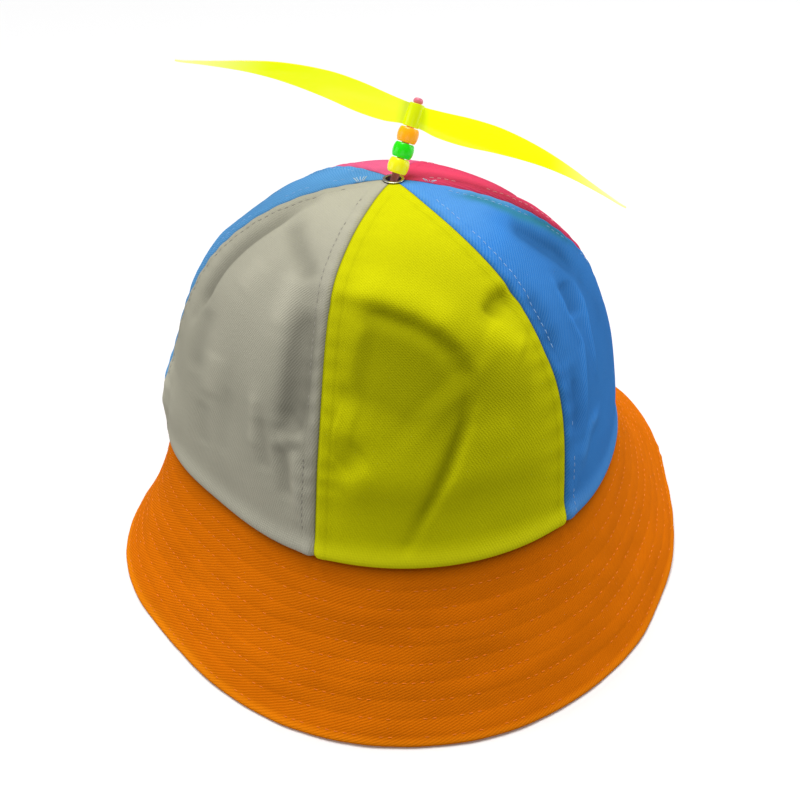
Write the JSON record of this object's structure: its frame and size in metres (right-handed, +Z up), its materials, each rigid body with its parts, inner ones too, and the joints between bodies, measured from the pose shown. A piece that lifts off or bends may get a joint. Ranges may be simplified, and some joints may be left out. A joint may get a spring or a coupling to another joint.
{
  "type": "propeller hat",
  "caption": "Soft panelled bucket hat with a drooping stitched brim and a propeller that spins on a beaded stick through an eyelet at the top.",
  "frame": {"origin": "on the ground below the middle of the whole hat's bounding box", "axes": "+Z up; -Y is the hat's front, where the yellow panel is; +X to its wearer's left"},
  "size_m": [0.2516, 0.2468, 0.2065],
  "materials": {
    "panel_yellow": "cotton twill",
    "panel_blue": "cotton twill",
    "panel_red": "cotton twill",
    "panel_pink": "cotton twill",
    "panel_light_blue": "cotton twill",
    "panel_grey": "cotton twill",
    "brim": "cotton twill",
    "eyelet": "plated pressed metal",
    "stick": "glossy moulded plastic",
    "bead_yellow": "glossy moulded plastic",
    "bead_green": "glossy moulded plastic",
    "bead_orange": "glossy moulded plastic",
    "propeller": "translucent fluorescent plastic"
  },
  "bodies": {
    "hat": {"panel_yellow": "panel_yellow", "panel_blue": "panel_blue", "panel_red": "panel_red", "panel_pink": "panel_pink", "panel_light_blue": "panel_light_blue", "panel_grey": "panel_grey", "brim": "brim", "eyelet": "eyelet", "stick": "stick", "bead_yellow": "bead_yellow", "bead_green": "bead_green", "bead_orange": "bead_orange"},
    "propeller": {"propeller": "propeller"}
  },
  "joints": [
    {"name": "propeller_spin", "type": "hinge", "parent": "hat", "child": "propeller", "pos_m": [0.00123, 0.00288, 0.18708], "axis": [0.3568, 0.2931, 0.887], "continuous": true}
  ]
}
